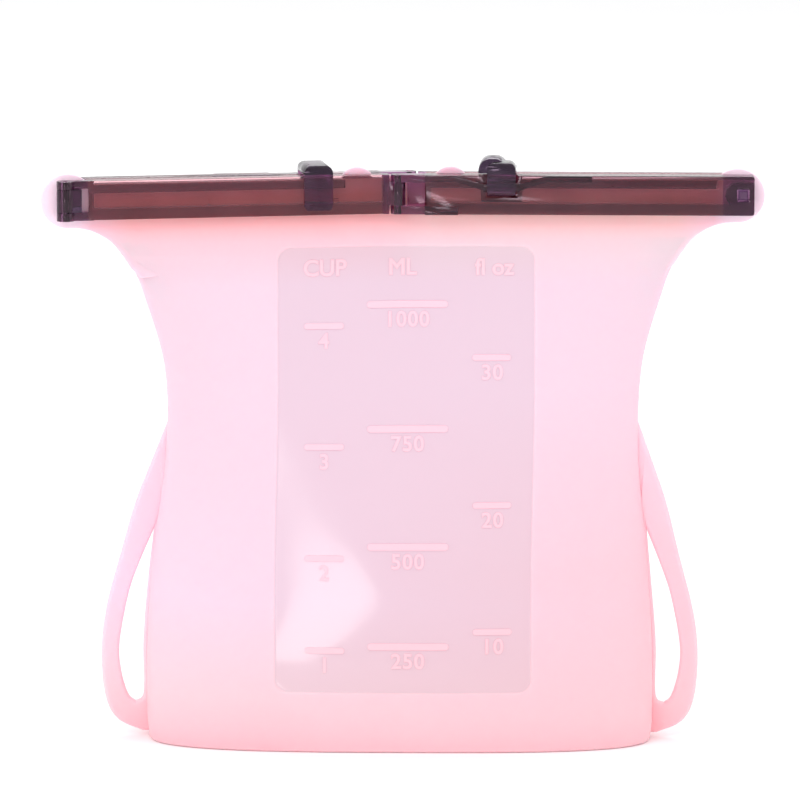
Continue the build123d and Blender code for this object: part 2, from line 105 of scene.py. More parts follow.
# ---- the scale panel on the front wall ---------------------------------------------------
PANEL_X = (-43.2, 45.0)
PANEL_Z = (21.0, 172.6)
PANEL_CORNER = 4.5
PANEL_DEPTH = 0.4
PANEL_EDGE = 0.7

# ---- the mesh's spacing ------------------------------------------------------------------
FINE_STEP = 0.35
ROW_STEP = 2.2
COLUMN_STEP = 1.6
LEAST_STEP = 0.12
LEAST_DEPTH = 0.25
FLAT_HALF = 56.0
BESIDE_PANEL = [-52.5, -49.0, -46.0, 48.0, 50.5, 53.0]
# How near the front wall a point is to count as on it.
ON_WALL = 0.2

# ---- the clip's moulded edges ------------------------------------------------------------
EDGE_RADIUS = 0.18

# ---- the raised scale --------------------------------------------------------------------
MARK_HEIGHT = 0.25
MARK_ROOT = 0.3
MARK_EDGE = 0.08
SIZE_PER_CAPITAL = 1.38
BOLDNESS = 0.03
# Words and x of the unit words, which stand on one line.
UNITS = [("CUP", -27.1), ("ML", -0.4), ("fl oz", 31.3)]
UNIT_Z = 163.0
UNIT_CAPITAL = 5.6
NUMERAL_CAPITAL = 5.2
NUMERAL_DROP = 7.4
# Numeral and height of each mark, then the ticks' two ends, the numerals' x and the thickness.
SCALES = [
    ([("1000", 153.0), ("750", 111.0), ("500", 71.0), ("250", 37.0)], -12.6, 15.2, 1.2, 2.3),
    ([("4", 146.0), ("3", 105.0), ("2", 67.0), ("1", 35.5)], -34.2, -20.6, -27.4, 2.0),
    ([("30", 135.0), ("20", 85.0), ("10", 42.0)], 23.6, 36.9, 30.4, 2.0),
]

# ---- colours -----------------------------------------------------------------------------
# The silicone's pinks go by share of TONE_HEIGHT and TONE_WIDTH, and its ears by share of EAR_TIP.
TONE_HEIGHT = 200.0
TONE_WIDTH = 180.0
EAR_TIP = 130.0
PINK_BY_HEIGHT = [
    (0.0, (0.97, 0.50, 0.555)),
    (0.08, (0.97, 0.58, 0.635)),
    (0.25, (0.97, 0.605, 0.72)),
    (0.50, (0.97, 0.59, 0.695)),
]
# Painted light: the peach band under the clip stands in for light coming through, and is painted paler on
# the right against the right bar's shade.
GLOW_PAINTED_LEFT, GLOW_PAINTED_RIGHT = (0.97, 0.45, 0.455), (0.99, 0.61, 0.585)
WARM_PINK = (0.97, 0.505, 0.55)
# Painted light: the ears are paler, standing in for light through the thin plate and lifting the shade of
# the hinge beside them.
EAR_PAINTED_LIGHT = (0.98, 0.74, 0.86)
PANEL_SHADE = (0.725, 0.878, 0.885)
MARK_SHADE = (0.96, 0.93, 0.93)
# Pale tone, dark tone and density of each clear plastic.
LEFT_BARS = ((0.86, 0.52, 0.49), (0.78, 0.45, 0.43), 258.0)
RIGHT_BARS = ((0.78, 0.45, 0.44), (0.70, 0.38, 0.38), 220.0)
LATCHES = ((0.58, 0.27, 0.45), (0.48, 0.21, 0.38), 400.0)
FORK_PLUM = (0.64, 0.29, 0.52)
END_PLUM = (0.44, 0.20, 0.36)
# Painted shade on the proud rib of the bars.
RIB_PAINTED_SHADE = (0.16, 0.08, 0.13)
SMOKE = (0.33, 0.31, 0.45)
BROWN_SHEEN, PLUM_SHEEN = (1.0, 0.76, 0.87), (1.0, 0.72, 0.98)
# Painted shade: the pin is near black so that the knuckles around it look dark; the rubbed tone is wear.
PIN_PAINTED_SHADE, PIN_RUBBED = (0.030, 0.015, 0.022), (0.055, 0.032, 0.045)
# Where a bar's tint changes: along it for the fork and the end hinge, across it for the rib.
FORK_REACH = 7.8
END_REACH = 109.8
RIB_DEPTH = 7.25

# ---- floor and camera --------------------------------------------------------------------
FLOOR_HALF = 9000.0
# The camera, with its distance and aim in metres, for an image 800 wide and high.
CAMERA_AIM = (-0.0012, 0.0, 0.1183)
CAMERA_DISTANCE = 2.5
CAMERA_PITCH = math.radians(9.27)
CAMERA_YAW = math.radians(0.47)
IMAGE_WIDTH = 800
WIDTH_PER_RADIAN = 7230
SENSOR_WIDTH = 36.0


def new_mesh(name, verts, faces):
    """A mesh object from millimetre coordinates."""
    mesh = bpy.data.meshes.new(name)
    mesh.from_pydata([tuple(c * MM for c in v) for v in verts], [], faces)
    mesh.validate()
    obj = bpy.data.objects.new(name, mesh)
    bpy.context.scene.collection.objects.link(obj)
    return obj


def shade_smooth(obj, angle):
    """Smooth shading, with edges sharper than the angle kept crisp."""
    mesh = obj.data
    mesh.polygons.foreach_set("use_smooth", [True] * len(mesh.polygons))
    mesh.set_sharp_from_angle(angle=angle)


# ---- body surface ------------------------------------------------------------------------


def section_at(z):
    """Half width, half depth and exponent at a height, smooth between the driving sections."""
    rows = BODY_SECTIONS
    i = max(k for k in range(len(rows) - 1) if rows[k][0] <= z)
    before, start, end = rows[max(i - 1, 0)], rows[i], rows[i + 1]
    after = rows[min(i + 2, len(rows) - 1)]
    step = end[0] - start[0]
    t = (z - start[0]) / step
    values = []
    for k in (1, 2, 3):
        slope0 = (end[k] - before[k]) / (end[0] - before[0]) * step
        slope1 = (after[k] - start[k]) / (after[0] - start[0]) * step
        rise = end[k] - start[k]
        curve = slope0 * t + (3 * rise - 2 * slope0 - slope1) * t**2
        values.append(start[k] + curve + (slope0 + slope1 - 2 * rise) * t**3)
    return values


def smoothstep(t):
    """0 below 0, 1 above 1, and an eased rise between."""
    t = np.clip(t, 0.0, 1.0)
    return t * t * (3 - 2 * t)


def settled(z):
    """0 at the clip and 1 in the soft lower body, which stands a little out of true."""
    return smoothstep((SETTLED_TOP - z) / (SETTLED_TOP - SETTLED_FULL))


def lean(z):
    """The lower body stands a little to the left of the clip's middle."""
    return -LEAN * settled(z)


def turn(x, z):
    """The lower body is turned a little, its right side nearer the front."""
    return TWIST * settled(z) * x


def bend_share(z, start, reach, power):
    """Share of the clip's bend at a height."""
    return float(np.clip((z - start) / reach, 0.0, 1.0)) ** power


def mouth_line(x, z):
    """Plan position of the walls' middle: the clip's bend, softer and weaker lower down. It
    reaches further down over the stiff panel than at the sides."""
    panel_share, side_share = bend_share(z, *PANEL_BEND), bend_share(z, *SIDE_BEND)
    sideways = smoothstep((np.abs(x) - STIFF_HALF) / STIFF_BLEND)
    share = panel_share + (side_share - panel_share) * sideways
    soft = 1.0 + BEND_SOFTNESS * (1.0 - panel_share)
    left, right = math.tan(LEFT_YAW), math.tan(RIGHT_YAW)
    slope, bend = (left + right) / 2, (left - right) / 2
    return share * (slope * x - bend * (np.sqrt(x**2 + soft**2) - soft)) - turn(x, z)


def panel_mask(x, z):
    """1 inside the rounded panel, 0 outside, with a short ramp at its edge."""
    mid_x, mid_z = sum(PANEL_X) / 2, sum(PANEL_Z) / 2
    half_x = (PANEL_X[1] - PANEL_X[0]) / 2 - PANEL_CORNER
    half_z = (PANEL_Z[1] - PANEL_Z[0]) / 2 - PANEL_CORNER
    dx = np.maximum(np.abs(x - mid_x) - half_x, 0)
    dz = np.maximum(np.abs(z - mid_z) - half_z, 0)
    outside = np.hypot(dx, dz) - PANEL_CORNER
    return smoothstep(-outside / PANEL_EDGE + 0.5)


def wall_offset(x, half_width, half_depth, power):
    """Distance of the wall from the middle line: a superellipse section."""
    t = np.clip(np.abs(x) / half_width, 0.0, 1.0)
    return half_depth * (1 - t**power) ** (1 / power)


def waviness(x, z, side):
    """Slight unevenness of the soft front (side -1) or rear (side 1) wall, fading out at the
    base, at the clip and over the front's stiffer panel."""
    fade = smoothstep(z / WAVE_FADE_BASE) * smoothstep((CAVITY_TOP - z) / WAVE_FADE_CLIP)
    if side < 0:
        fade = fade * smoothstep((np.abs(x) - WAVE_START) / WAVE_FADE_PANEL)
    return fade * sum(h * np.sin(x / across + z / up + shift * side) for h, across, up, shift in WAVES)


def front_wall(x, z):
    """y of the outer front wall at (x, z)."""
    y = mouth_line(x, z) - wall_offset(x, *section_at(z))
    return y - waviness(x, z, -1) + PANEL_DEPTH * panel_mask(x, z)


def panel_ends(span, inner_steps):
    """Places close together across both edges of the panel, and wider apart just inside them."""
    places = []
    for edge, inward in ((span[0], 1), (span[1], -1)):
        places += [edge + inward * s * FINE_STEP for s in range(-3, 4)]
        places += [edge + inward * s for s in inner_steps]
    return places


def columns(half_width):
    """x positions across the body: fixed over the panel, squeezed into what is left beside it."""
    fixed = [-FLAT_HALF, FLAT_HALF] + BESIDE_PANEL + panel_ends(PANEL_X, (1.6, 2.3, 3.1, 4.0, 5.0))
    fixed += list(np.arange(PANEL_X[0] + 6.2, PANEL_X[1] - 6.0, COLUMN_STEP))
    crowding = np.sin(np.linspace(0, math.pi / 2, 30))[1:]
    beside = FLAT_HALF + (half_width - FLAT_HALF) * crowding
    return np.concatenate([-beside[::-1], np.array(sorted(fixed)), beside])


def levels(top):
    """Heights of the rows: close together at the base radius and at the panel's ends."""
    rows = [BASE_RADIUS * (1 - math.cos(a)) for a in np.linspace(0, math.pi / 2, 8)]
    rows += list(np.arange(6.0, top, ROW_STEP)) + panel_ends(PANEL_Z, (1.7, 2.5, 3.4, 4.4))
    rows = sorted(set(round(z, 3) for z in rows if z < top)) + [top]
    kept = [rows[0]]
    for z in rows[1:]:
        if z - kept[-1] > LEAST_STEP:
            kept.append(z)
    return kept


def base_rounding(z):
    """How far the section is drawn in at the base radius."""
    if z >= BASE_RADIUS:
        return 0.0
    return BASE_RADIUS - math.sqrt(BASE_RADIUS**2 - (BASE_RADIUS - z) ** 2)


def ring(z, inset, outer):
    """One closed row of points: along the front wall, then back along the rear wall. The panel
    is sunk into the outer skin alone."""
    half_width, half_depth, power = section_at(z)
    draw_in = base_rounding(z) + inset
    half_width, half_depth = half_width - draw_in, max(half_depth - draw_in, LEAST_DEPTH)
    x = columns(half_width)
    middle = mouth_line(x, z)
    depth = wall_offset(x, half_width, half_depth, power)
    front = middle - depth - waviness(x, z, -1)
    rear = middle + depth + waviness(x, z, 1)
    if outer:
        front = front + PANEL_DEPTH * panel_mask(x, z)
    shifted = x + lean(z)
    line = [(a, b, z) for a, b in zip(shifted, front)]
    return line + [(a, b, z) for a, b in zip(shifted[-2:0:-1], rear[-2:0:-1])]


def closed_tube(name, rings, flip=False):
    """Rings joined into a closed skin, with the ends filled by strips between the two walls."""
    count = len(rings[0])
    verts = [v for r in rings for v in r]
    faces = []
    for i in range(len(rings) - 1):
        a, b = i * count, (i + 1) * count
        for j in range(count):
            k = (j + 1) % count
            faces.append((a + j, a + k, b + k, b + j))
    half = count // 2
    for start, upward in ((0, False), ((len(rings) - 1) * count, True)):
        for j in range(half):
            quad = [start + j, start + j + 1, start + (count - j - 1) % count, start + (count - j) % count]
            quad = list(dict.fromkeys(quad))
            faces.append(tuple(quad if upward else quad[::-1]))
    if flip:
        faces = [f[::-1] for f in faces]
    return new_mesh(name, verts, faces)


def body_skin():
    """The walls' outer skin, with the base closed."""
    return closed_tube("body", [ring(z, 0.0, True) for z in levels(BODY_TOP)])


def cavity_skin():
    """The walls' inner skin, facing inward, with a third of the outer skin's rows."""
    rows = [z for z in levels(CAVITY_TOP) if z > WALL + 2]
    rows = [CAVITY_FLOOR] + rows[::3] + [CAVITY_TOP]
    return closed_tube("cavity", [ring(z, WALL, False) for z in rows], flip=True)


# ---- flat silicone parts: rim, ears, handles ---------------------------------------------


def arc(cx, cz, radius, start, end, steps):
    """Points on an arc from one angle to another, in degrees."""
    angles = np.radians(np.linspace(start, end, steps))
    return [(cx + radius * math.cos(a), cz + radius * math.sin(a)) for a in angles]


def plate(name, outlines, half, bevel, yaw, side):
    """A flat upright plate from closed (x, z) outlines, the first one outer and the others
    holes. Side -1 mirrors it, and yaw turns it with its half of the clip."""
    curve = bpy.data.curves.new(name, "CURVE")
    curve.dimensions = "2D"
    curve.fill_mode = "BOTH"
    curve.extrude = (half - bevel) * MM
    curve.bevel_depth = bevel * MM
    curve.bevel_resolution = 3
    curve.offset = -bevel * MM
    for outline in outlines:
        spline = curve.splines.new("POLY")
        spline.points.add(len(outline) - 1)
        for point, (x, z) in zip(spline.points, outline):
            point.co = (side * x * MM, z * MM, 0, 1)
        spline.use_cyclic_u = True
    maker = bpy.data.objects.new(name + "_curve", curve)
    bpy.context.scene.collection.objects.link(maker)
    bpy.context.view_layer.update()
    mesh = bpy.data.meshes.new_from_object(maker.evaluated_get(bpy.context.evaluated_depsgraph_get()))
    bpy.data.objects.remove(maker)
    mesh.transform(Matrix.Rotation(yaw, 4, "Z") @ Matrix.Rotation(math.pi / 2, 4, "X"))
    obj = bpy.data.objects.new(name, mesh)
    bpy.context.scene.collection.objects.link(obj)
    clean(obj)
    return obj


def clean(obj):
    """Merges points on the same place and turns every face outward."""
    bm = bmesh.new()
    bm.from_mesh(obj.data)
    bmesh.ops.remove_doubles(bm, verts=bm.verts, dist=SAME_PLACE)
    bmesh.ops.recalc_face_normals(bm, faces=bm.faces)
    bm.to_mesh(obj.data)
    bm.free()


def rim_outline(side):
    """Clamped rim of one half: a dome above the bars, the ear, and the fillet into the neck."""
    ear = EAR_REACH[side]
    lift = math.degrees(math.asin((RIM_TOP - EAR_HEIGHT) / EAR_RADIUS))
    bump = math.degrees(math.asin((RIM_TOP - BUMP_HEIGHT) / BUMP_RADIUS))
    points = [(-RIM_OVERLAP, RIM_ROOT), (-RIM_OVERLAP, RIM_TOP)]
    dome = arc(BUMP_U, BUMP_HEIGHT, BUMP_RADIUS, 180 - bump, bump, 25)
    points += [(u, min(z, BUMP_TOP)) for u, z in dome]
    points += arc(ear, EAR_HEIGHT, EAR_RADIUS, 180 - lift, -88, 56)
    neck = [(4.0, 180.75), (8.0, 179.8), (10.8, 178.5), (14.0, 176.5), (16.3, 174.3)]
    neck += [(18.0, 172.0), (19.6, 169.8), (21.6, 166.6), (25.0, 163.0)]
    points += [(ear - back, z) for back, z in neck]
    return points + [(60.0, 166.0), (30.0, 172.0)]


def box_outline(u0, u1, z0, z1, radius):
    """A rectangle with round corners."""
    left, right, low, high = u0 + radius, u1 - radius, z0 + radius, z1 - radius
    points = []
    for turns, corner in enumerate([(right, high), (left, high), (left, low), (right, low)]):
        points += arc(*corner, radius, 90 * turns, 90 * turns + 90, 6)
    return points


def spline_points(knots, steps=10):
    """A smooth open curve through a few knots."""
    pts = np.array(knots, float)
    ext = np.vstack([2 * pts[0] - pts[1], pts, 2 * pts[-1] - pts[-2]])
    out = []
    for i in range(1, len(ext) - 2):
        p0, p1, p2, p3 = ext[i - 1 : i + 3]
        for t in np.linspace(0, 1, steps, endpoint=False):
            q = 2 * p1 + (p2 - p0) * t + (2 * p0 - 5 * p1 + 4 * p2 - p3) * t**2
            out.append(tuple((q + (3 * p1 - p0 - 3 * p2 + p3) * t**3) / 2))
    return out + [tuple(pts[-1])]


def handle_outlines():
    """Carrying loop: its outer edge, and the tall hole that is pointed at the top."""
    outer = [(81, 112), (86.8, 96.7), (91.9, 82.7), (96.6, 65.3), (102.0, 44.3), (103.6, 28)]
    outer += [(102.1, 13), (97.8, 5.4), (89.4, 1.6)]
    left = [(85.4, 73.2), (87.3, 55), (89.0, 34), (88.9, 18), (89.6, 13.4), (91.9, 12.1)]
    right = [(91.9, 12.1), (94.5, 14.6), (96.9, 23), (97.3, 33), (94.2, 49.6), (90.6, 60.5)]
    right.append((85.4, 73.2))
    loop = spline_points(outer) + [(76.0, 1.6), (74.0, 113.0)]
    hole = spline_points(left)[:-1] + spline_points(right)[:-1]
    return [loop, hole]


def make_handle(side):
    """A carrying loop, leaning and turned like the lower body."""
    handle = plate(f"handle_{side}", handle_outlines(), HANDLE_HALF, HANDLE_EDGE, 0.0, side)
    for v in handle.data.vertices:
        x, z = v.co.x / MM, v.co.z / MM
        v.co.y -= turn(x, z) * MM
        v.co.x += lean(z) * MM
    return handle


def joined(base, others):
    """One closed skin from overlapping closed ones."""
    for other in others:
        mod = base.modifiers.new("join", "BOOLEAN")
        mod.operation = "UNION"
        mod.solver = "EXACT"
        mod.object = other
    bpy.context.view_layer.update()
    mesh = bpy.data.meshes.new_from_object(base.evaluated_get(bpy.context.evaluated_depsgraph_get()))
    base.modifiers.clear()
    base.data = mesh
    for other in others:
        bpy.data.objects.remove(other)
    return base


def make_bag():
    """The bag: walls, rim, ears and handles as one skin, with the sealed inside's skin in it. The
    panel attribute is 1 on the sunk panel and 0 elsewhere."""
    left_rim = [rim_outline(-1), box_outline(*TONGUE_HOLE)]
    right_rim = [rim_outline(1), box_outline(*PEG_HOLE)]
    parts = [
        plate("rim_left", left_rim, RIM_HALF, RIM_EDGE, LEFT_YAW, -1),
        plate("rim_right", right_rim, RIM_HALF, RIM_EDGE, RIGHT_YAW, 1),
        make_handle(-1),
        make_handle(1),
    ]
    bag = joined(body_skin(), parts)
    bag.name = "silicone_bag_soft"
    cavity = cavity_skin()
    bm = bmesh.new()
    bm.from_mesh(bag.data)
    bm.from_mesh(cavity.data)
    bm.to_mesh(bag.data)
    bm.free()
    bpy.data.objects.remove(cavity)
    co = np.array([v.co for v in bag.data.vertices]) / MM
    distance = [abs(y - front_wall(np.array([x - lean(z)]), z)[0]) for x, y, z in co]
    on_wall = (co[:, 1] < 0) & (np.array(distance) <= ON_WALL)
    mask = panel_mask(co[:, 0] - lean(co[:, 2]), co[:, 2]) * on_wall
    attribute = bag.data.attributes.new("panel", "FLOAT", "POINT")
    attribute.data.foreach_set("value", mask.astype(np.float32))
    shade_smooth(bag, math.radians(40))
    return bag


# ---- raised scale ------------------------------------------------------------------------


def text_mesh(words, capital, spacing):
    """Flat lettering of a given capital height, centred, as a mesh in the x, y plane."""
    curve = bpy.data.curves.new("words", "FONT")
    curve.body = words
    curve.size = capital * SIZE_PER_CAPITAL
    curve.align_x = "CENTER"
    curve.offset = BOLDNESS * capital
    curve.space_character = spacing
    curve.resolution_u = 4
    obj = bpy.data.objects.new("words", curve)
    bpy.context.scene.collection.objects.link(obj)
    bpy.context.view_layer.update()
    mesh = bpy.data.meshes.new_from_object(obj.evaluated_get(bpy.context.evaluated_depsgraph_get()))
    bpy.data.objects.remove(obj)
    return mesh


def raise_on_wall(bm, x, z):
    """Lays flat faces on the front wall at (x, z) and thickens them, with their root in the wall."""
    grown = bmesh.ops.extrude_face_region(bm, geom=list(bm.faces))
    lifted = {v for v in grown["geom"] if isinstance(v, bmesh.types.BMVert)}
    for v in bm.verts:
        u, w = v.co.x + x, v.co.y + z
        wall = float(front_wall(np.array([u - lean(w)]), w)[0])
        height = MARK_HEIGHT if v in lifted else -MARK_ROOT
        v.co = Vector((u, wall - height, w))
    bmesh.ops.recalc_face_normals(bm, faces=bm.faces)


def add_words(target, words, capital, x, z, spacing=1.1):
    """Raised words, or a numeral, standing on (x, z)."""
    bm = bmesh.new()
    bm.from_mesh(text_mesh(words, capital, spacing))
    bmesh.ops.remove_doubles(bm, verts=bm.verts, dist=0.001)
    bmesh.ops.dissolve_limit(bm, angle_limit=0.01, verts=bm.verts, edges=bm.edges)
    bmesh.ops.triangulate(bm, faces=bm.faces)
    raise_on_wall(bm, x, z)
    append(target, bm)


def add_tick(target, x0, x1, z, thickness):
    """A raised bar with round ends."""
    bm = bmesh.new()
    half = thickness / 2
    outline = arc(x1 - half, 0, half, -90, 90, 7)
    steps = np.linspace(x1 - half, x0 + half, 12)[1:-1]
    outline += [(u, half) for u in steps]
    outline += arc(x0 + half, 0, half, 90, 270, 7)
    outline += [(u, -half) for u in steps[::-1]]
    bm.faces.new([bm.verts.new((u, w, 0)) for u, w in outline])
    bmesh.ops.triangulate(bm, faces=bm.faces)
    raise_on_wall(bm, 0.0, z)
    append(target, bm)


def append(target, bm):
    """Moves the faces of bm into target."""
    mesh = bpy.data.meshes.new("piece")
    bm.to_mesh(mesh)
    target.from_mesh(mesh)
    bpy.data.meshes.remove(mesh)
    bm.free()


def make_scale():
    """Raised ticks, numerals and unit words of the volume scale."""
    target = bmesh.new()
    for words, x in UNITS:
        add_words(target, words, UNIT_CAPITAL, x, UNIT_Z, 1.0)
    for marks, x0, x1, x_numeral, thickness in SCALES:
        for numeral, z in marks:
            add_tick(target, x0, x1, z, thickness)
            add_words(target, numeral, NUMERAL_CAPITAL, x_numeral, z - NUMERAL_DROP)
    mesh = bpy.data.meshes.new("raised_scale")
    bmesh.ops.scale(target, vec=(MM, MM, MM), verts=target.verts)
    target.to_mesh(mesh)
    target.free()
    obj = bpy.data.objects.new("raised_scale", mesh)
    bpy.context.scene.collection.objects.link(obj)
    bevel = obj.modifiers.new("soft_edges", "BEVEL")
    bevel.width = MARK_EDGE * MM
    bevel.segments = 2
    bevel.angle_limit = math.radians(50)
    shade_smooth(obj, math.radians(50))
    return obj


# ---- materials ---------------------------------------------------------------------------


class Material:
    """A node material with short calls for its nodes."""

    def __init__(self, name):
        self.material = bpy.data.materials.new(name)
        self.material.use_nodes = True
        self.nodes = self.material.node_tree.nodes
        self.links = self.material.node_tree.links
        self.nodes.clear()
        self.output = self.nodes.new("ShaderNodeOutputMaterial")
        self.shader = self.nodes.new("ShaderNodeBsdfPrincipled")
        self.links.new(self.shader.outputs["BSDF"], self.output.inputs["Surface"])

    def set(self, **values):
        """Sets the shader's own sockets."""
        for key, value in values.items():
            self.shader.inputs[key.replace("_", " ")].default_value = value

    def node(self, kind, inputs=None, **settings):
        """A new node. An input is a socket to link or a value to set."""
        made = self.nodes.new("ShaderNode" + kind)
        for key, value in settings.items():
            setattr(made, key, value)
        for key, value in (inputs or {}).items():
            if isinstance(value, bpy.types.NodeSocket):
                self.links.new(value, made.inputs[key])
            else:
                made.inputs[key].default_value = value
        return made

    def ramp(self, value, stops):
        """A colour, or a grey level, that changes along a value. Stops are (value, colour)."""
        made = self.node("ValToRGB", {"Fac": value})
        elements = made.color_ramp.elements
        while len(elements) < len(stops):
            elements.new(0.5)
        for element, (place, color) in zip(elements, stops):
            element.position = place
            element.color = (*color, 1) if isinstance(color, tuple) else (color, color, color, 1)
        return made.outputs["Color"]

    def mix(self, factor, color, other):
        """From one colour to another, which may be fixed, as the factor goes from 0 to 1."""
        fixed = isinstance(other, tuple)
        sockets = {0: factor, 6: color, 7: (*other, 1) if fixed else other}
        return self.node("Mix", sockets, data_type="RGBA").outputs[2]

    def multiply(self, color, factor):
        """A colour times a fixed colour."""
        made = self.node("Mix", {0: 1.0, 6: color, 7: (*factor, 1)}, data_type="RGBA", blend_type="MULTIPLY")
        return made.outputs[2]

    def number(self, operation, a, b=0.0):
        """A sum, product or other operation on two numbers or sockets."""
        return self.node("Math", {0: a, 1: b}, operation=operation).outputs[0]

    def along(self, place, direction):
        """Distance of a place along a fixed direction."""
        made = self.node("VectorMath", {0: place, 1: direction}, operation="DOT_PRODUCT")
        return made.outputs["Value"]


def silicone_tone(m, place, axes, across):
    """Pink, warmer at the base and low on the right. Under the clip a peach band is painted light,
    standing in for light that comes through; it is painted paler on the right against the right bar's shade."""
    rise = m.number("DIVIDE", axes["Z"], TONE_HEIGHT * MM)
    side = m.number("ADD", m.number("DIVIDE", axes["X"], TONE_WIDTH * MM), 0.5)
    drift = m.node("TexNoise", {"Vector": place, "Scale": 14.0, "Detail": 2.0, "Roughness": 0.45})
    wander = m.number("MULTIPLY", m.number("SUBTRACT", drift.outputs[0], 0.5), 0.10)
    tone = m.ramp(m.number("ADD", rise, wander), PINK_BY_HEIGHT)
    # Painted light: the band under the clip where the peach tone stands in for light coming through.
    glow = m.ramp(rise, [(0.80, 0.0), (0.875, 0.35), (0.92, 1.0), (0.95, 0.9), (0.97, 0.0)])
    inward = m.ramp(across, [(0.72, 1.0), (0.86, 0.0)])
    peach = m.ramp(side, [(0.45, GLOW_PAINTED_LEFT), (0.55, GLOW_PAINTED_RIGHT)])
    tone = m.mix(m.number("MULTIPLY", glow, inward), tone, peach)
    low = m.ramp(rise, [(0.30, 1.0), (0.62, 0.0)])
    warmer = m.number("MULTIPLY", low, m.ramp(side, [(0.1, 0.0), (0.95, 1.0)]))
    return m.mix(m.number("MULTIPLY", warmer, 0.65), tone, WARM_PINK)


def silicone_material(raised=False):
    """Matte translucent silicone, with painted light making the ears paler. The scale panel is polished
    and a little greyer. The panel, the ears and the raised marks scatter less light."""
    m = Material("silicone_raised" if raised else "silicone")
    place = m.node("TexCoord").outputs["Object"]
    axes = m.node("SeparateXYZ", {"Vector": place}).outputs
    across = m.number("DIVIDE", m.number("ABSOLUTE", axes["X"]), EAR_TIP * MM)
    ears = m.ramp(across, [(0.82, 0.0), (0.87, 1.0)])
    # Painted light makes the ears paler.
    tone = m.mix(ears, silicone_tone(m, place, axes, across), EAR_PAINTED_LIGHT)
    grain = m.node("TexNoise", {"Vector": place, "Scale": 2600.0, "Detail": 3.0, "Roughness": 0.6})
    soft = m.node("TexNoise", {"Vector": place, "Scale": 90.0, "Detail": 2.0, "Roughness": 0.5})
    rough = m.number("ADD", m.number("MULTIPLY", grain.outputs[0], 0.12), 0.5)
    strength = 0.10
    if raised:
        tone = m.multiply(tone, MARK_SHADE)
    else:
        panel = m.node("Attribute", attribute_name="panel").outputs["Fac"]
        tone = m.mix(panel, tone, m.multiply(tone, PANEL_SHADE))
        rough = m.number("SUBTRACT", rough, m.number("MULTIPLY", panel, 0.49))
        strength = m.number("SUBTRACT", strength, m.number("MULTIPLY", panel, 0.095))
        firm = m.number("ADD", m.number("MULTIPLY", panel, 0.6), m.number("MULTIPLY", ears, 0.55))
        m.links.new(m.number("SUBTRACT", 0.65, firm), m.shader.inputs["Subsurface Weight"])
    m.links.new(tone, m.shader.inputs["Base Color"])
    m.links.new(rough, m.shader.inputs["Roughness"])
    fine = m.node("Bump", {"Height": grain.outputs[0], "Strength": strength, "Distance": 0.0001})
    broad = m.node("Bump", {"Height": soft.outputs[0], "Strength": strength, "Distance": 0.0006})
    m.links.new(fine.outputs[0], broad.inputs["Normal"])
    m.links.new(broad.outputs[0], m.shader.inputs["Normal"])
    m.set(Subsurface_Weight=0.05, Subsurface_Radius=(1.0, 0.55, 0.62), Subsurface_Scale=0.004)
    m.set(IOR=1.41, Specular_IOR_Level=0.5)
    return m.material


def bar_tint(m, place, tint, yaw):
    """On a bar, with the turn of its clip half, the forks, the boss and the end hinge are
    plummier, and the proud rib is darkened with painted shade."""
    reach = m.number("ABSOLUTE", m.along(place, (math.cos(yaw), math.sin(yaw), 0)))
    depth = m.number("ABSOLUTE", m.along(place, (-math.sin(yaw), math.cos(yaw), 0)))
    fork = m.number("LESS_THAN", reach, FORK_REACH * MM)
    end = m.number("GREATER_THAN", reach, END_REACH * MM)
    proud = m.number("GREATER_THAN", depth, RIB_DEPTH * MM)
    tint = m.mix(m.number("MULTIPLY", fork, 0.9), tint, FORK_PLUM)
    tint = m.mix(m.number("MULTIPLY", end, 0.9), tint, END_PLUM)
    # Painted shade darkens the proud rib.
    return m.mix(proud, tint, RIB_PAINTED_SHADE)


def smoky_plastic(name, pale, dark, density, sheen, yaw=None):
    """Clear plum-brown moulded plastic, which darkens with its own thickness."""
    m = Material(name)
    place = m.node("TexCoord").outputs["Object"]
    flow = m.node("TexNoise", {"Vector": place, "Scale": 60.0, "Detail": 3.0, "Roughness": 0.5})
    tint = m.ramp(flow.outputs[0], [(0.35, dark), (0.65, pale)])
    if yaw is not None:
        tint = bar_tint(m, place, tint, yaw)
    m.links.new(tint, m.shader.inputs["Base Color"])
    marks = m.node("TexNoise", {"Vector": place, "Scale": 900.0, "Detail": 4.0, "Roughness": 0.65})
    rough = m.ramp(marks.outputs[0], [(0.3, 0.05), (0.75, 0.14)])
    m.links.new(rough, m.shader.inputs["Roughness"])
    ripple = m.node("Bump", {"Height": flow.outputs[0], "Strength": 0.05, "Distance": 0.0003})
    m.links.new(ripple.outputs[0], m.shader.inputs["Normal"])
    m.set(Transmission_Weight=1.0, IOR=1.5, Specular_IOR_Level=0.3, Specular_Tint=(*sheen, 1))
    absorb = m.node("VolumeAbsorption", {"Color": (*SMOKE, 1), "Density": density})
    m.links.new(absorb.outputs[0], m.output.inputs["Volume"])
    return m.material


def pin_plastic():
    """Hinge pin, near black as painted shade that darkens the knuckles around it, slightly rubbed."""
    m = Material("pin_plastic")
    place = m.node("TexCoord").outputs["Object"]
    wear = m.node("TexNoise", {"Vector": place, "Scale": 500.0, "Detail": 3.0})
    # Painted shade: the pin's near-black tone darkens the knuckles.
    tone = m.ramp(wear.outputs[0], [(0.35, PIN_PAINTED_SHADE), (0.7, PIN_RUBBED)])
    m.links.new(tone, m.shader.inputs["Base Color"])
    rough = m.ramp(wear.outputs[0], [(0.3, 0.12), (0.7, 0.28)])
    m.links.new(rough, m.shader.inputs["Roughness"])
    m.set(IOR=1.5)
    return m.material


def dress(obj, material):
    """Gives a piece one material in place of any that it has."""
    obj.data.materials.clear()
    obj.data.materials.append(material)


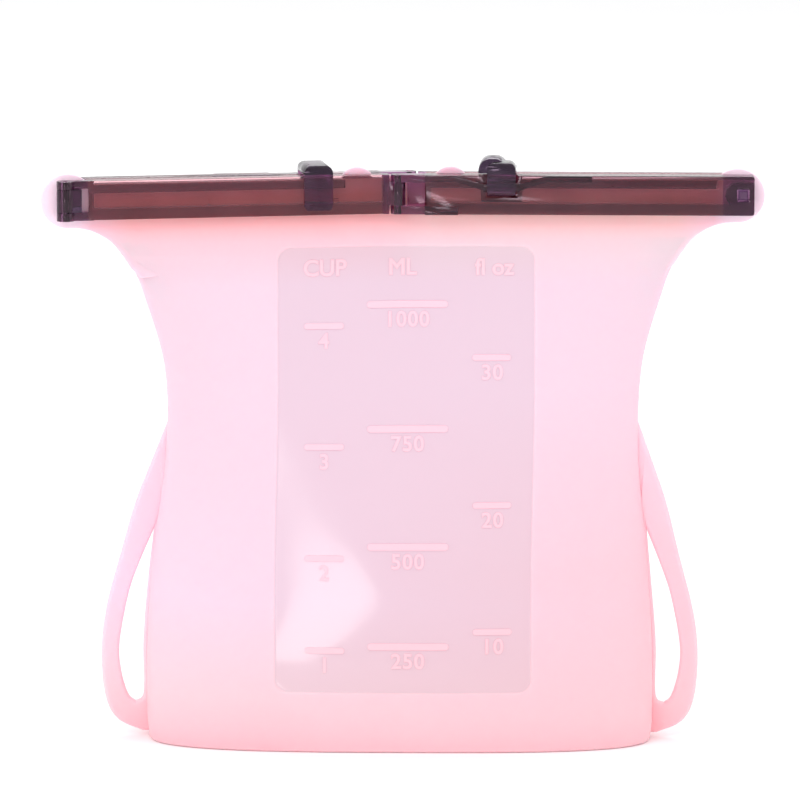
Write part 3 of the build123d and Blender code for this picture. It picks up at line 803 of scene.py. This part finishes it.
def finish_moulding(node, material):
    """Gives a CAD piece its material and the tiny rounded edges of a moulded part."""
    dress(node, material)
    weld = node.modifiers.new("weld", "WELD")
    weld.merge_threshold = 0.001 * MM
    bevel = node.modifiers.new("edges", "BEVEL")
    bevel.width = EDGE_RADIUS * MM
    bevel.segments = 2
    bevel.limit_method = "ANGLE"
    bevel.angle_limit = math.radians(30)
    bevel.harden_normals = True
    shade_smooth(node, math.radians(30))


# ---- stage -------------------------------------------------------------------------------


def area_light(name, place, aim, size, power, shape="RECTANGLE", roll=0.0):
    """A lamp facing its aim, with its place, aim and size in metres."""
    light = bpy.data.lights.new(name, "AREA")
    light.shape = shape
    light.size, light.size_y = size
    light.energy = power
    obj = bpy.data.objects.new(name, light)
    obj.location = place
    facing = (Vector(aim) - Vector(place)).to_track_quat("-Z", "Y").to_matrix()
    obj.rotation_euler = (facing @ Matrix.Rotation(roll, 3, "Z")).to_euler()
    obj.visible_camera = False
    bpy.context.scene.collection.objects.link(obj)


def make_stage():
    """Pale paper floor, white surroundings and four soft lights. The front light, a slanted
    ellipse, is the one that the polished panel mirrors."""
    corners = [(FLOOR_HALF * a, FLOOR_HALF * b, 0) for a, b in ((-1, -1), (1, -1), (1, 1), (-1, 1))]
    floor = new_mesh("floor", corners, [(0, 1, 2, 3)])
    m = Material("floor_paper")
    place = m.node("TexCoord").outputs["Object"]
    grain = m.node("TexNoise", {"Vector": place, "Scale": 3.0})
    tone = m.ramp(grain.outputs[0], [(0.3, (0.95, 0.95, 0.955)), (0.7, (0.97, 0.97, 0.975))])
    m.links.new(tone, m.shader.inputs["Base Color"])
    m.set(Roughness=0.9, Specular_IOR_Level=0.1)
    dress(floor, m.material)
    world = bpy.data.worlds.new("studio")
    world.use_nodes = True
    world.node_tree.nodes["Background"].inputs[0].default_value = (1.0, 1.0, 1.0, 1)
    world.node_tree.nodes["Background"].inputs[1].default_value = 1.0
    bpy.context.scene.world = world
    area_light("key", (-0.9, -1.3, 1.5), (0, 0, 0.1), (0.9, 0.9), 10)
    area_light("fill", (1.3, -0.8, 0.9), (0, 0, 0.1), (0.7, 1.2), 3)
    area_light("back", (0.1, 1.4, 1.3), (0, 0, 0.12), (1.6, 0.8), 8)
    place, aim = (-0.283, -1.2, 0.062), (-0.283, 0, 0.062)
    area_light("front", place, aim, (0.48, 0.11), 0.72, "ELLIPSE", math.radians(25))
    bpy.context.scene.view_settings.view_transform = "Standard"


def make_camera():
    """Nearly square to the clip and far back, looking down a little."""
    data = bpy.data.cameras.new("camera")
    data.sensor_width = SENSOR_WIDTH
    data.lens = SENSOR_WIDTH * WIDTH_PER_RADIAN / IMAGE_WIDTH
    data.clip_end = 50
    camera = bpy.data.objects.new("camera", data)
    level = math.cos(CAMERA_PITCH)
    look = Vector((math.sin(CAMERA_YAW) * level, math.cos(CAMERA_YAW) * level, -math.sin(CAMERA_PITCH)))
    camera.location = Vector(CAMERA_AIM) - CAMERA_DISTANCE * look
    camera.rotation_euler = look.to_track_quat("-Z", "Y").to_euler()
    bpy.context.scene.collection.objects.link(camera)
    bpy.context.scene.camera = camera


# ---- assembly ----------------------------------------------------------------------------
make_camera()
make_stage()

bag = make_bag()
dress(bag, silicone_material())
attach(bag, "bag_and_back_left_bar")
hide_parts("silicone_bag")

scale = make_scale()
dress(scale, silicone_material(raised=True))
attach(scale, "bag_and_back_left_bar")

left_bars = smoky_plastic("smoky_plastic_left", *LEFT_BARS, BROWN_SHEEN, LEFT_YAW)
right_bars = smoky_plastic("smoky_plastic_right", *RIGHT_BARS, BROWN_SHEEN, RIGHT_YAW)
latches = smoky_plastic("smoky_plastic_dense", *LATCHES, PLUM_SHEEN)
pins = pin_plastic()
for name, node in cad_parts.items():
    if name.endswith("_bar"):
        finish_moulding(node, left_bars if "left" in name else right_bars)
    elif name.endswith("_latch"):
        finish_moulding(node, latches)
    elif name.endswith("_pin"):
        finish_moulding(node, pins)
